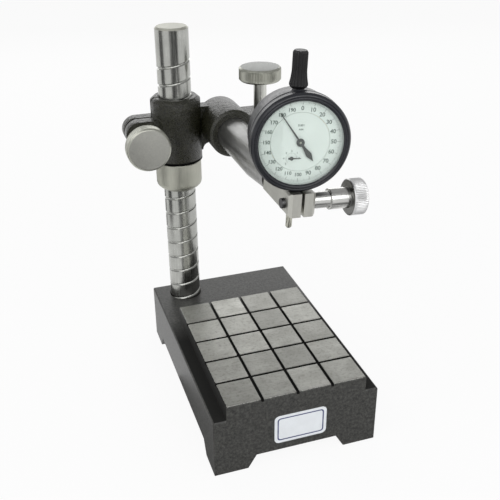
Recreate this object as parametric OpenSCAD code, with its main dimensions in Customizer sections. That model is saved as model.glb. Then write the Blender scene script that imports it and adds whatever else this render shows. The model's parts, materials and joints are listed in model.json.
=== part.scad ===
// Comparator stand: a cast base with a grooved platen, a round column, a double split
// clamp bracket lifted by a nut on the column, a level arm and a dial gauge in its holder.
// X to the right, Y to the back, Z up, origin on the floor under the middle of the stand.

/* [Base] */
// Width of the base casting, left to right
base_w = 116; // [108:1:130]
// Depth of the base casting, front to back
base_d = 182; // [176:1:200]
// Height of the ledge round the platen
ledge_h = 44; // [40:1:50]
// Height of the platen above the ledge
platen_rise = 11.2; // [8:0.2:14]
// Width of the ledge at each side of the platen
ledge_w = 9.2; // [6:0.2:12]
// Depth of the low strip behind the platen
strip_d = 55.3; // [50:0.1:60]
// Squares across the platen
squares_x = 4; // [3:1:5]
// Squares along the platen
squares_y = 5; // [4:1:6]
// Width of the platen grooves
groove_w = 2; // [1.2:0.2:3]
// Depth of the platen grooves
groove_depth = 2.4; // [1:0.2:4]
// Width of each foot at the floor
foot_w = 23.5; // [20:0.5:27]
// Depth of each foot at the floor
foot_d = 21; // [18:0.5:25]
// Height of the arches between the feet
foot_h = 10; // [7:0.5:12]
// Slope of the arches, measured along the floor
foot_slope = 6; // [4:0.5:8]

/* [Column] */
// Diameter of the column
column_d = 24; // [22:0.5:25]
// Height of the column above the ledge
column_rise = 215; // [205:1:240]
// From the column's axis to the back edge of the base
column_back = 15; // [14.5:0.5:20]
// Diameter of the bolt that holds the column down
bolt_d = 10; // [8:1:12]
// Length of the bolt inside the column
bolt_in = 20; // [16:1:24]
// Thickness of the web under the column's socket
web_t = 5; // [4:0.5:7]

/* [Lift] */
// Height of the bracket's underside above the floor
bracket_z = 161.6; // [140:0.2:180]
// Outside diameter of the lifting nut
nut_d = 34.4; // [32:0.2:36]
// Height of the lifting nut
nut_h = 22.2; // [20:0.2:26]
// Height of the rounded edge under the nut
nut_chamfer = 5.2; // [4:0.2:7]
// Thickness of the thrust washer between nut and bracket
washer_t = 0.6; // [0.4:0.1:1]

/* [Bracket] */
// Outside diameter of the boss round the column
boss_d = 36.6; // [34:0.2:38]
// Height of the boss round the column
boss_h = 47.8; // [44:0.2:52]
// Height of the cone on top of the boss
boss_chamfer = 2.4; // [1.4:0.1:4]
// Sideways distance from the column's axis to the arm's axis
arm_offset = 34; // [33:0.5:36]
// Height of the arm's axis above the bracket's underside
arm_up = 25.2; // [23:0.2:26]
// Outside diameter of the boss round the arm
arm_boss_d = 34.8; // [33:0.2:37]
// Length of the boss round the arm
arm_boss_len = 36; // [32:0.5:40]
// How far the arm's clamp screw lies in front of the column's axis
arm_boss_fore = 11.5; // [8:0.5:14]
// How much further the arm boss reaches to the front than to the back
arm_boss_nose = 4.5; // [0:0.5:6]
// Height of the web between the two bosses
web_h = 28; // [22:0.5:30]
// How far the web stands out in front of the column's axis
web_fore = 6; // [2:0.5:10]
// Radius of the gusset under the web
gusset_r = 5; // [3:0.5:6]
// Width of the saw cuts that split both clamps
split_w = 2; // [1.4:0.1:2.6]
// From the column's axis to its clamp screw
column_clamp_reach = 29; // [27:0.5:31]
// Height of the column clamp screw above the bracket's underside
column_clamp_up = 23.4; // [20:0.2:26]
// Thickness of both column clamp ears with their cut
column_ear_t = 20; // [16:0.5:24]
// Radius of the column clamp ears
column_ear_r = 10; // [9:0.5:12]
// From the arm's axis to its clamp screw
arm_clamp_reach = 27.6; // [26:0.2:30]
// Thickness of both arm clamp ears with their cut
arm_ear_t = 18.2; // [16:0.2:20]
// Radius of the arm clamp ears
arm_ear_r = 11; // [9:0.5:12]

/* [Knobs] */
// Diameter of the two large clamp knobs
knob_d = 31; // [26:0.5:34]
// Thickness of the knob heads
knob_t = 10; // [8:0.5:12]
// Diameter of the knob shanks
shank_d = 9.6; // [9:0.1:12]
// Length of the knob shanks
shank_len = 22; // [18:0.5:26]
// Diameter of the two large clamp screws
clamp_screw_d = 7; // [6:0.5:8]
// Length of the two large clamp screws inside their knobs
clamp_screw_in = 13.5; // [10:0.5:16]
// Diameter of the stem clamp knob
stem_knob_d = 22; // [20:0.5:25]
// Length of the stem clamp knob's rim
stem_rim_len = 9.5; // [7:0.1:12]
// Diameter of the stem clamp knob's collar
stem_collar_d = 12.6; // [11.6:0.2:14]
// Length of the stem clamp knob's collar
stem_collar_len = 12.4; // [10:0.2:15]
// Diameter of the stem clamp knob's neck
stem_neck_d = 10; // [9:0.2:11]
// Length of the stem clamp knob's neck
stem_neck_len = 10.8; // [9:0.2:13]
// Diameter of the stem clamp screw
stem_screw_d = 6; // [5:0.5:7]
// How far the stem clamp screw's end stands out of the holder
stem_screw_out = 2; // [0.5:0.1:3]

/* [Arm] */
// Diameter of the arm
arm_d = 24; // [20:0.5:25]
// From the column's axis forward to the stem of the gauge
stem_reach = 147.2; // [142:0.2:152]
// How far the arm stands out behind its boss
arm_tail = 5.5; // [2:0.5:12]
// Length of the cone at the front of the arm
cone_len = 28.7; // [22:0.1:34]
// Diameter of the arm at the front of its cone
cone_d = 19; // [17:0.5:20]
// Turn of the arm in its clamp, as it stands
arm_roll = 3; // [0:0.5:6]
// Width of the gauge holder
holder_w = 16.6; // [14:0.2:18]
// Height of the gauge holder
holder_t = 14.4; // [13:0.2:14.4]
// From the stem's axis to the holder's front face
holder_front = 19.2; // [17.6:0.2:20]
// From the stem's axis to the holder's rear face
holder_rear = 24.8; // [22:0.2:28]
// Width of the holder's saw cut
holder_split = 1.8; // [1.4:0.1:2.6]
// From the stem's axis forward to the stem clamp screw
stem_clamp_fore = 10.6; // [10:0.1:11.6]
// How far the stem clamp screw lies below the arm's axis
stem_clamp_drop = 1; // [0:0.1:2]

/* [Gauge] */
// Outside diameter of the bezel
bezel_d = 57; // [54:0.5:57.4]
// Diameter of the window in the bezel
window_d = 48.2; // [44:0.2:48.4]
// Height of the dial's centre above the arm's axis
gauge_up = 36; // [36:0.1:39]
// Turn of the gauge in its holder, as it stands
gauge_turn = 8.5; // [0:0.5:9]
// Diameter of the gauge stem
stem_d = 8; // [7.6:0.1:8.4]
// Diameter of the spindle
spindle_d = 4; // [3.6:0.1:4.2]
// From the dial's centre down to the tip of the contact point
tip_drop = 58; // [56:0.2:64]
// From the dial's centre up to the top of the lifting cap
cap_top = 47.8; // [44:0.2:50]
// Spindle travel for one turn of the long hand
turn_travel = 0.2; // [0.15:0.01:0.25]
// Length of the long hand from the centre to its tip
hand_len = 21; // [18:0.2:22]
// Length of the long hand's tail
tail_len = 13.6; // [10:0.2:15]
// Length of the short hand
counter_hand_len = 5.4; // [4:0.1:6]
// Angle of the long hand, clockwise from the top
hand_angle = -36; // [-180:1:180]
// Angle of the short hand, clockwise from the top
counter_angle = 90; // [-180:1:180]

/* [Hidden] */
$fn = 96;
// Radial clearance of shafts and slides that move
run_gap = 0.05;
// Clearance of flat faces that turn on each other
thrust_gap = 0.05;
// Clearance of pieces that are fixed together
seat_gap = 0.02;
// Clearance between the pitch circles of two wheels
mesh_gap = 0.1;

platen_w = base_w - 2 * ledge_w;
platen_d = base_d - strip_d;
platen_z = ledge_h + platen_rise;
edge = 0.8;

column_r = column_d / 2;
column_x = -arm_offset;
column_y = base_d / 2 - column_back;
column_top = ledge_h + column_rise;
bolt_head_r = 0.8 * bolt_d;
bolt_head_h = 0.55 * bolt_d;
bolt_head_z = foot_h + 1;
web_z = bolt_head_z + bolt_head_h;
socket_z = web_z + web_t;
mouth = 0.8;

washer_z = bracket_z - thrust_gap - washer_t;
nut_z = washer_z - thrust_gap - nut_h;

arm_r = arm_d / 2;
arm_z = bracket_z + arm_up;
arm_boss_r = arm_boss_d / 2;
arm_mid_y = column_y - arm_boss_fore;
arm_boss_y0 = arm_mid_y - arm_boss_len / 2 - arm_boss_nose;
arm_boss_y1 = arm_mid_y + arm_boss_len / 2;
column_clamp_x = column_x - column_clamp_reach;
column_clamp_z = bracket_z + column_clamp_up;
clamp_screw_r = clamp_screw_d / 2;
knob_len = shank_len + knob_t;
knob_gap = 0.15;

stem_y = column_y - stem_reach;
arm_front_y = stem_y + holder_rear + 1.8;
arm_back_y = arm_boss_y1 + arm_tail;
spigot_r = 5;
spigot_len = 14;
holder_h = holder_w / 2;
holder_v = holder_t / 2;
holder_bevel = 1.2;
holder_nose = 2;
holder_y0 = stem_y - holder_front;
holder_y1 = stem_y + holder_rear;
stem_clamp_y = stem_y - stem_clamp_fore;
stem_screw_r = stem_screw_d / 2;
stem_knob_r = stem_knob_d / 2;
stem_collar_r = stem_collar_d / 2;
stem_neck_r = stem_neck_d / 2;
stem_rim_z = stem_neck_len + stem_collar_len;
stem_knob_end = stem_rim_z + stem_rim_len;
stem_screw_in = 1.3 * stem_neck_len;
stem_r = stem_d / 2;
spindle_r = spindle_d / 2;

// Depths in the gauge run along the dial's normal, zero at the stem and minus to the front
bezel_r = bezel_d / 2;
bezel_front = -17.4;
bezel_back = -8.6;
case_front = -12;
case_back = 7.5;
case_r = bezel_r - 2.3;
case_wall = 1.8;
glass_r = bezel_r - 2.95;
glass_y0 = -16.2;
glass_y1 = -15;
dial_y0 = -13.2;
dial_y1 = -12.4;
dial_split_r = 17;
cover_t = 1.8;
cover_thread_r = 1;
cover_thread_len = 5;
cover_head_r = 1.8;
cover_head_h = 1;
cap_z = case_r + 1.1;
cap_r = 4.3;
cap_foot_r = 5.4;
cap_roof = 3.4;
boss_r = 6;
boss_len = 6.2;
boss_depth = boss_len + 1;
bush_r = 3.5;
bush_len = 10;
bush_in = 6.6;
pillar_r = 2.6;
cover_screw_r = case_r - case_wall - 2;
inner_plate_r = cover_screw_r - pillar_r - 1.6;
plate_y0 = -8.4;
plate_y1 = -7.2;
middle_y0 = -5.4;
middle_y1 = -4.4;
bridge_y0 = 3.4;
bridge_y1 = 4.6;
stem_end = -gauge_up - holder_v + 0.2;
stem_len = boss_depth - case_r - stem_end;
tip_len = 7.4;
tip_stud_r = 1;
tip_stud_len = 4.6;
spindle_z = tip_len - tip_drop;
spindle_len = cap_top - cap_roof - 0.2 - spindle_z;

// Hands: gap to the dial, then boss and blade
hand_boss_r = 2.3;
hand_boss_y1 = dial_y0 - 0.4;
hand_boss_y0 = hand_boss_y1 - 1;
hand_blade_y = hand_boss_y1 - 0.5;
hand_blade_t = 0.4;
counter_boss_r = 1.1;
counter_boss_y1 = dial_y0 - 0.3;
counter_boss_y0 = counter_boss_y1 - 0.5;
counter_blade_y = counter_boss_y1 - 0.1;
counter_blade_t = 0.3;

// Gear train: rack on the spindle, rack wheel, second wheel, centre pinion
arbor_r = 0.6;
rack_pinion_r = 1.6;
rack_pinion_len = 2.8;
wheel_r = 8.9;
wheel_t = 0.6;
second_pinion_r = 1.3;
second_pinion_len = 1;
centre_pinion_len = 1.4;
// Middle planes of the three wheels
counter_wheel_y = (dial_y1 + plate_y0) / 2 + 0.3;
second_wheel_y = (plate_y1 + middle_y0) / 2 - 0.1;
rack_wheel_y = middle_y1 + 0.8;
train_ratio = 360 / (turn_travel / rack_pinion_r * 180 / PI);
centre_pinion_r = wheel_r * wheel_r / (second_pinion_r * train_ratio);
second_dist = wheel_r + centre_pinion_r + mesh_gap;
second_x = -6.2;
second_z = sqrt(second_dist * second_dist - second_x * second_x);
rack_x = spindle_r + rack_pinion_r + mesh_gap;
rack_dist = wheel_r + second_pinion_r + mesh_gap;
rack_z = second_z - sqrt(rack_dist * rack_dist - pow(rack_x - second_x, 2));
// Counter: eight turns of the long hand make one turn of the short hand
counter_x = -4.4;
counter_z = -9.4;
counter_pinion_r = (norm([counter_x, counter_z]) - mesh_gap) / 9;
counter_wheel_r = 8 * counter_pinion_r;

// The stand is drawn about the base's middle and moved so that its box is centred
left_x = min(-base_w / 2, column_clamp_x - max(knob_d / 2, column_ear_r));
front_y = min(-base_d / 2, stem_clamp_y - stem_knob_d / 2);
back_y = max(base_d / 2, column_y + boss_d / 2);
mid_x = (left_x + base_w / 2) / 2;
mid_y = (front_y + back_y) / 2;

// Moves the base's middle to its place beside the origin
module stand() translate([-mid_x, -mid_y, 0]) children();

// Frame of the arm: origin on its axis, turned as it sits in its clamp
module on_arm() stand() translate([0, 0, arm_z]) rotate([0, arm_roll, 0]) children();

// Frame of the gauge: origin at the dial's centre on the stem's axis
module on_gauge() on_arm() translate([0, stem_y, gauge_up]) rotate([0, 0, -gauge_turn]) children();

// Cylinder along X from x0 to x1
module rod_x(r, x0, x1) translate([x0, 0, 0]) rotate([0, 90, 0]) cylinder(r = r, h = x1 - x0);

// Cylinder along Y from y0 to y1
module rod_y(r, y0, y1) translate([0, y0, 0]) rotate([-90, 0, 0]) cylinder(r = r, h = y1 - y0);

// Solid turned about Y from points of radius and depth
module turned(points) rotate([-90, 0, 0]) rotate_extrude() polygon(points);

// Block standing on z0 with its top edges bevelled on all four sides
module bevelled_block(x0, x1, y0, y1, z0, z1, c) intersection() {
  translate([0, y1, 0]) rotate([90, 0, 0]) linear_extrude(y1 - y0)
    polygon([[x0, z0], [x1, z0], [x1, z1 - c], [x1 - c, z1], [x0 + c, z1], [x0, z1 - c]]);
  translate([x0, 0, 0]) rotate([90, 0, 90]) linear_extrude(x1 - x0)
    polygon([[y0, z0], [y1, z0], [y1, z1 - c], [y1 - c, z1], [y0 + c, z1], [y0, z1 - c]]);
}

// Section of an arch between two feet
module arch(half) polygon([[-half, -1], [half, -1], [half, 0], [half - foot_slope, foot_h],
  [foot_slope - half, foot_h], [-half, 0]]);

module base_casting() color("DimGray") stand() difference() {
  union() {
    bevelled_block(-base_w / 2, base_w / 2, -base_d / 2, base_d / 2, 0, ledge_h, edge);
    bevelled_block(-platen_w / 2, platen_w / 2, -base_d / 2, platen_d - base_d / 2,
      foot_h + 5, platen_z, edge);
  }
  // Arches between the feet, front to back and side to side
  translate([0, base_d / 2 + 1, 0]) rotate([90, 0, 0]) linear_extrude(base_d + 2)
    arch(base_w / 2 - foot_w);
  translate([-base_w / 2 - 1, 0, 0]) rotate([90, 0, 90]) linear_extrude(base_w + 2)
    arch(base_d / 2 - foot_d);
  // Grooves along and across the platen
  for (i = [1 : squares_x - 1])
    translate([platen_w * (i / squares_x - 0.5), -base_d / 2, platen_z - groove_depth])
      translate([-groove_w / 2, -1, 0]) cube([groove_w, platen_d + 2, groove_depth + 1]);
  for (i = [1 : squares_y - 1])
    translate([0, platen_d * i / squares_y - base_d / 2, platen_z - groove_depth])
      translate([-platen_w / 2 - 1, -groove_w / 2, 0]) cube([platen_w + 2, groove_w, groove_depth + 1]);
  // Socket of the column with its chamfered mouth, and the hole and counterbore of its bolt
  translate([column_x, column_y, 0]) {
    translate([0, 0, socket_z]) cylinder(r = column_r + seat_gap, h = ledge_h - socket_z + 1);
    translate([0, 0, ledge_h - mouth]) cylinder(r1 = column_r, r2 = column_r + mouth, h = mouth);
    translate([0, 0, -1]) cylinder(r = bolt_d / 2 + 0.3, h = socket_z + 2);
    translate([0, 0, -1]) cylinder(r = bolt_head_r + 0.7, h = web_z + 1);
  }
}

module column() color("Silver") stand() translate([column_x, column_y, 0]) difference() {
  rotate_extrude() polygon([[0, socket_z], [column_r, socket_z], [column_r, column_top - 1.4],
    [column_r - 1.4, column_top], [0, column_top]]);
  translate([0, 0, socket_z - 1]) cylinder(r = bolt_d / 2 + seat_gap, h = bolt_in + 5);
}

module column_bolt() color("Black") stand() translate([column_x, column_y, 0]) difference() {
  union() {
    translate([0, 0, web_z]) cylinder(r = bolt_d / 2, h = web_t + bolt_in);
    translate([0, 0, bolt_head_z]) cylinder(r = bolt_head_r, h = bolt_head_h);
  }
  // Hexagon socket
  translate([0, 0, bolt_head_z - 1]) cylinder(r = bolt_d * 0.46, h = bolt_head_h / 2 + 1, $fn = 6);
}

module thrust_washer() color("Black") stand() translate([column_x, column_y, washer_z])
  difference() {
    cylinder(r = nut_d / 2 - 1.2, h = washer_t);
    translate([0, 0, -1]) cylinder(r = column_r + run_gap, h = washer_t + 2);
  }

module lifting_nut() color("Silver") stand() translate([column_x, column_y, nut_z]) difference() {
  rotate_extrude() polygon([[0, 0], [column_r + 0.8, 0], [nut_d / 2 - 2.2, 0.3 * nut_chamfer],
    [nut_d / 2 - 0.5, 0.62 * nut_chamfer], [nut_d / 2, nut_chamfer], [nut_d / 2, nut_h], [0, nut_h]]);
  translate([0, 0, -1]) cylinder(r = column_r + run_gap, h = nut_h + 2);
}

// Section of the web seen from the front, about the arm's axis
module web_section() {
  boss_edge = column_x + boss_d / 2;
  translate([column_x, -web_h / 2]) square([-column_x, web_h]);
  difference() {
    translate([boss_edge - 3, -web_h / 2 - gusset_r]) square([3 + gusset_r, gusset_r + 1]);
    translate([boss_edge + gusset_r, -web_h / 2 - gusset_r]) circle(gusset_r);
  }
}

// Solid shape of the bracket before its bores, cuts and screw holes
module bracket_body() {
  // Boss round the column
  translate([column_x, column_y, bracket_z]) {
    cylinder(r = boss_d / 2, h = boss_h - boss_chamfer);
    translate([0, 0, boss_h - boss_chamfer])
      cylinder(r1 = boss_d / 2, r2 = boss_d / 2 - boss_chamfer - 0.2, h = boss_chamfer);
  }
  // Boss round the arm, bevelled at both ends
  translate([0, 0, arm_z]) turned([[0, arm_boss_y0], [arm_boss_r - 1.8, arm_boss_y0],
    [arm_boss_r, arm_boss_y0 + 1.8], [arm_boss_r, arm_boss_y1 - 1.8],
    [arm_boss_r - 1.8, arm_boss_y1], [0, arm_boss_y1]]);
  // Web that joins the two bosses, with a rounded gusset below
  translate([0, arm_boss_y1 - 2, arm_z]) rotate([90, 0, 0])
    linear_extrude(arm_boss_y1 - 2 - column_y + web_fore) web_section();
  // Ears of the column clamp
  translate([column_clamp_x, 0, column_clamp_z])
    rod_y(column_ear_r, column_y - column_ear_t / 2, column_y + column_ear_t / 2);
  translate([column_clamp_x, column_y - column_ear_t / 2, column_clamp_z - column_ear_r])
    cube([column_clamp_reach, column_ear_t, 2 * column_ear_r]);
  // Ears of the arm clamp
  translate([arm_clamp_reach, arm_mid_y, arm_z - arm_ear_t / 2]) cylinder(r = arm_ear_r, h = arm_ear_t);
  translate([0, arm_mid_y - arm_ear_r, arm_z - arm_ear_t / 2])
    cube([arm_clamp_reach, 2 * arm_ear_r, arm_ear_t]);
}

module bracket() color("DarkSlateGray") stand() difference() {
  bracket_body();
  // Bores of column and arm
  translate([column_x, column_y, bracket_z]) {
    translate([0, 0, -1]) cylinder(r = column_r + run_gap, h = boss_h + 2);
    translate([0, 0, boss_h - mouth]) cylinder(r1 = column_r, r2 = column_r + mouth, h = mouth);
  }
  translate([0, 0, arm_z]) rod_y(arm_r + run_gap, arm_boss_y0 - 1, arm_boss_y1 + 1);
  // Saw cuts from each bore out through its ears
  translate([column_clamp_x - column_ear_r - 1, column_y - split_w / 2, bracket_z - 1])
    cube([column_clamp_reach + column_ear_r + 1, split_w, boss_h + 2]);
  translate([0, arm_boss_y0 - 1, arm_z - split_w / 2])
    cube([arm_clamp_reach + arm_ear_r + 1, arm_boss_y1 - arm_boss_y0 + 2, split_w]);
  // Holes of the clamp screws
  translate([column_clamp_x, 0, column_clamp_z])
    rod_y(clamp_screw_r + run_gap, column_y - column_ear_t, column_y + column_ear_t);
  translate([arm_clamp_reach, arm_mid_y, arm_z - arm_ear_t])
    cylinder(r = clamp_screw_r + run_gap, h = 2 * arm_ear_t);
}

// Knob standing on its shank, head on top, with the blind hole of its screw
module clamp_knob() difference() {
  rotate_extrude() polygon([[0, 0], [shank_d / 2, 0], [shank_d / 2, shank_len],
    [knob_d / 2 - 1.2, shank_len], [knob_d / 2, shank_len + 1.2], [knob_d / 2, knob_len - 1.2],
    [knob_d / 2 - 1.2, knob_len], [0, knob_len]]);
  translate([0, 0, -1]) cylinder(r = clamp_screw_r + seat_gap, h = clamp_screw_in + 1.5);
}

// Frame of the column clamp: on the front ear, Z pointing to the front
module on_column_clamp() stand()
  translate([column_clamp_x, column_y - column_ear_t / 2 - knob_gap, column_clamp_z])
    rotate([90, 0, 0]) children();

// Frame of the arm clamp: on the upper ear
module on_arm_clamp() stand()
  translate([arm_clamp_reach, arm_mid_y, arm_z + arm_ear_t / 2 + knob_gap]) children();

module column_clamp_knob() color("Gray") on_column_clamp() clamp_knob();

module column_clamp_screw() color("Silver") on_column_clamp()
  translate([0, 0, -column_ear_t]) cylinder(r = clamp_screw_r, h = column_ear_t + clamp_screw_in);

module arm_clamp_knob() color("Gray") on_arm_clamp() clamp_knob();

module arm_clamp_screw() color("Silver") on_arm_clamp()
  translate([0, 0, -arm_ear_t]) cylinder(r = clamp_screw_r, h = arm_ear_t + clamp_screw_in);

module arm() color("Silver") on_arm() difference() {
  turned([[0, arm_front_y], [cone_d / 2 - 0.6, arm_front_y], [cone_d / 2, arm_front_y + 0.6],
    [arm_r, arm_front_y + cone_len], [arm_r, arm_back_y - 1.5], [arm_r - 1.5, arm_back_y],
    [0, arm_back_y]]);
  rod_y(spigot_r + seat_gap, arm_front_y - 1, arm_front_y + spigot_len + 0.5);
}

// Section of the holder across the arm, with bevelled corners
module holder_section() for (s = [0, 1]) mirror([0, s]) polygon([[-holder_h, 0], [holder_h, 0],
  [holder_h, holder_v - holder_bevel], [holder_h - holder_bevel, holder_v],
  [holder_bevel - holder_h, holder_v], [-holder_h, holder_v - holder_bevel]]);

module gauge_holder() color("LightGray") on_arm() difference() {
  union() {
    // Square bar with bevelled corners, cut to a bevelled nose in plan
    intersection() {
      translate([0, holder_y1, 0]) rotate([90, 0, 0]) linear_extrude(holder_y1 - holder_y0)
        holder_section();
      translate([0, 0, -holder_w]) linear_extrude(2 * holder_w)
        polygon([[-holder_h, holder_y1], [-holder_h, holder_y0 + holder_nose],
          [holder_nose - holder_h, holder_y0], [holder_h - holder_nose, holder_y0],
          [holder_h, holder_y0 + holder_nose], [holder_h, holder_y1]]);
    }
    // Neck and spigot into the arm
    rod_y(spigot_r + 1.5, holder_y1 - 1, arm_front_y);
    rod_y(spigot_r, holder_y1 - 1, arm_front_y + spigot_len);
  }
  // Bore of the stem, its saw cut and the hole of the clamp screw
  translate([0, stem_y, -holder_w]) cylinder(r = stem_r + run_gap, h = 2 * holder_w);
  translate([-holder_split / 2, holder_y0 - 1, -holder_w])
    cube([holder_split, holder_front + 1, 2 * holder_w]);
  translate([0, stem_clamp_y, -stem_clamp_drop]) rod_x(stem_screw_r + run_gap, -holder_w, holder_w);
}

// Frame of the stem clamp: on the arm's axis beside the stem
module on_stem_clamp() on_arm() translate([0, stem_clamp_y, -stem_clamp_drop]) children();

module stem_clamp_knob() color("Silver") on_stem_clamp() translate([holder_h + knob_gap, 0, 0])
  rotate([0, 90, 0]) difference() {
    rotate_extrude() polygon([[0, 0], [stem_neck_r, 0], [stem_neck_r, stem_neck_len],
      [stem_collar_r, stem_neck_len], [stem_collar_r, stem_rim_z], [stem_knob_r - edge, stem_rim_z],
      [stem_knob_r, stem_rim_z + edge], [stem_knob_r, stem_knob_end - edge],
      [stem_knob_r - edge, stem_knob_end], [0, stem_knob_end]]);
    translate([0, 0, -1]) cylinder(r = stem_screw_r + seat_gap, h = stem_screw_in + 2);
  }

module stem_clamp_screw() color("Gray") on_stem_clamp()
  rod_x(stem_screw_r, -holder_h - stem_screw_out, holder_h + stem_screw_in);

module gauge_case() color("DimGray") on_gauge() difference() {
  rod_y(case_r, case_front, case_back);
  // Cavity, round the cover's pillars and the bosses for stem and upper bush
  difference() {
    rod_y(case_r - case_wall, case_front - 1, case_back + 1);
    for (a = [45 : 90 : 315]) rotate([0, a, 0]) translate([cover_screw_r, 0, 0])
      rod_y(pillar_r, plate_y1, case_back + 2);
    for (side = [-1, 1]) translate([0, 0, side * (case_r - 1 - boss_len / 2)])
      cylinder(r = boss_r, h = boss_len, center = true);
  }
  translate([0, 0, -case_r - 1]) cylinder(r = stem_r + seat_gap, h = boss_depth + 2);
  translate([0, 0, case_r - boss_depth - 1]) cylinder(r = bush_r + seat_gap, h = boss_depth + 2);
  for (a = [45 : 90 : 315]) rotate([0, a, 0]) translate([cover_screw_r, 0, 0])
    rod_y(cover_thread_r + seat_gap, case_back - cover_thread_len - 2, case_back + 1);
}

module back_cover() color("DimGray") on_gauge() difference() {
  turned([[0, case_back], [case_r - 0.4, case_back], [case_r - 0.4, case_back + cover_t - 0.5],
    [case_r - 0.9, case_back + cover_t], [0, case_back + cover_t]]);
  for (a = [45 : 90 : 315]) rotate([0, a, 0]) translate([cover_screw_r, 0, 0]) {
    rod_y(cover_thread_r + seat_gap, case_back - 1, case_back + cover_t + 1);
    rod_y(cover_head_r + 0.1, case_back + cover_t - cover_head_h, case_back + cover_t + 1);
  }
}

module cover_screws() color("Silver") on_gauge()
  for (a = [45 : 90 : 315]) rotate([0, a, 0]) translate([cover_screw_r, 0, 0]) {
    rod_y(cover_thread_r, case_back - cover_thread_len, case_back + 1);
    rod_y(cover_head_r, case_back + cover_t - cover_head_h, case_back + cover_t);
  }

module gauge_stem() color("Silver") on_gauge() difference() {
  translate([0, 0, stem_end]) cylinder(r = stem_r, h = stem_len);
  translate([0, 0, stem_end - 1]) cylinder(r = spindle_r + run_gap, h = stem_len + 2);
}

module upper_bush() color("DimGray") on_gauge() translate([0, 0, case_r - bush_in]) difference() {
  cylinder(r = bush_r, h = bush_len);
  translate([0, 0, -1]) cylinder(r = spindle_r + run_gap, h = bush_len + 2);
}

// Plate of the movement with the pivot holes that lie in it
module movement_plate(r, y0, y1, holes) difference() {
  rod_y(r, y0, y1);
  for (p = holes) translate([p[0], 0, p[1]]) rod_y(arbor_r + run_gap, y0 - 1, y1 + 1);
}

module movement_frame() color("Goldenrod") on_gauge() {
  second = [second_x, second_z];
  rack = [rack_x, rack_z];
  counter = [counter_x, counter_z];
  movement_plate(case_r - case_wall - 0.6, plate_y0, plate_y1, [[0, 0], second, counter]);
  movement_plate(inner_plate_r, middle_y0, middle_y1, [[0, 0], second, rack]);
  movement_plate(inner_plate_r, bridge_y0, bridge_y1, [rack]);
  for (a = [-33, 40, 140]) rotate([0, a, 0]) translate([inner_plate_r - 1.6, 0, 0])
    rod_y(1.2, plate_y1 - 0.2, bridge_y0 + 0.2);
}

module dial_plate() color("Honeydew") on_gauge() difference() {
  union() {
    rod_y(dial_split_r - 0.1, dial_y0, dial_y1);
    // Dial feet that stand on the movement
    translate([12, 0, 6]) rod_y(1, dial_y1 - 0.2, plate_y0);
    translate([-10, 0, 9]) rod_y(1, dial_y1 - 0.2, plate_y0);
  }
  rod_y(1, dial_y0 - 1, dial_y1 + 1);
  translate([counter_x, 0, counter_z]) rod_y(1, dial_y0 - 1, dial_y1 + 1);
}

module bezel() color("Black") on_gauge() turned([[window_d / 2, bezel_front],
  [bezel_r - 1.3, bezel_front], [bezel_r, bezel_front + 1.6], [bezel_r, bezel_back],
  [case_r + run_gap, bezel_back], [case_r + run_gap, case_front - 0.2],
  [glass_r + seat_gap, case_front - 0.2], [glass_r + seat_gap, glass_y0],
  [window_d / 2 + 0.5, glass_y0], [window_d / 2, glass_y0 - 0.3]]);

module crystal() color("LightCyan", 0.35) on_gauge() rod_y(glass_r, glass_y0, glass_y1);

module dial_ring() color("Honeydew") on_gauge() turned([[dial_split_r + 0.1, dial_y0],
  [glass_r, dial_y0], [glass_r, dial_y1], [dial_split_r + 0.1, dial_y1]]);

module long_hand() color("Black") on_gauge() rotate([0, hand_angle, 0]) difference() {
  union() {
    rod_y(hand_boss_r, hand_boss_y0, hand_boss_y1);
    translate([0, hand_blade_y, 0]) rotate([90, 0, 0]) linear_extrude(hand_blade_t)
      polygon([[-0.55, 0], [-0.2, hand_len], [0.2, hand_len], [0.55, 0], [0.8, -0.3 * tail_len],
        [1.7, -0.66 * tail_len], [0, -tail_len], [-1.7, -0.66 * tail_len], [-0.8, -0.3 * tail_len]]);
  }
  rod_y(arbor_r + seat_gap, hand_boss_y0 - 1, hand_boss_y1 + 1);
}

// Wheel or pinion of a length along its axis, about its middle plane
module wheel(r, y, len) rod_y(r, y - len / 2, y + len / 2);

module centre_arbor() color("Silver") on_gauge() {
  rod_y(arbor_r, hand_boss_y0 + 0.1, middle_y1 - 0.1);
  wheel(counter_pinion_r, counter_wheel_y, wheel_t + 0.2);
  wheel(centre_pinion_r, second_wheel_y, centre_pinion_len);
}

module second_arbor() color("Goldenrod") on_gauge() translate([second_x, 0, second_z]) {
  rod_y(arbor_r, plate_y0 + 0.1, rack_wheel_y + 0.7);
  wheel(wheel_r, second_wheel_y, wheel_t);
  wheel(second_pinion_r, rack_wheel_y, second_pinion_len);
}

module rack_arbor() color("Goldenrod") on_gauge() translate([rack_x, 0, rack_z]) {
  rod_y(arbor_r, middle_y0 + 0.1, bridge_y1 - 0.1);
  wheel(wheel_r, rack_wheel_y, wheel_t);
  wheel(rack_pinion_r, 0, rack_pinion_len);
}

module counter_arbor() color("Goldenrod") on_gauge() translate([counter_x, 0, counter_z]) {
  rod_y(arbor_r, counter_boss_y0 + 0.1, plate_y1 - 0.1);
  wheel(counter_wheel_r, counter_wheel_y, wheel_t);
}

module short_hand() color("Black") on_gauge() translate([counter_x, 0, counter_z])
  rotate([0, counter_angle, 0]) difference() {
    union() {
      rod_y(counter_boss_r, counter_boss_y0, counter_boss_y1);
      translate([0, counter_blade_y, 0]) rotate([90, 0, 0]) linear_extrude(counter_blade_t)
        polygon([[-0.4, 0], [-0.15, counter_hand_len], [0.15, counter_hand_len], [0.4, 0],
          [0.6, -counter_hand_len / 3], [-0.6, -counter_hand_len / 3]]);
    }
    rod_y(arbor_r + seat_gap, counter_boss_y0 - 1, counter_boss_y1 + 1);
  }

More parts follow.
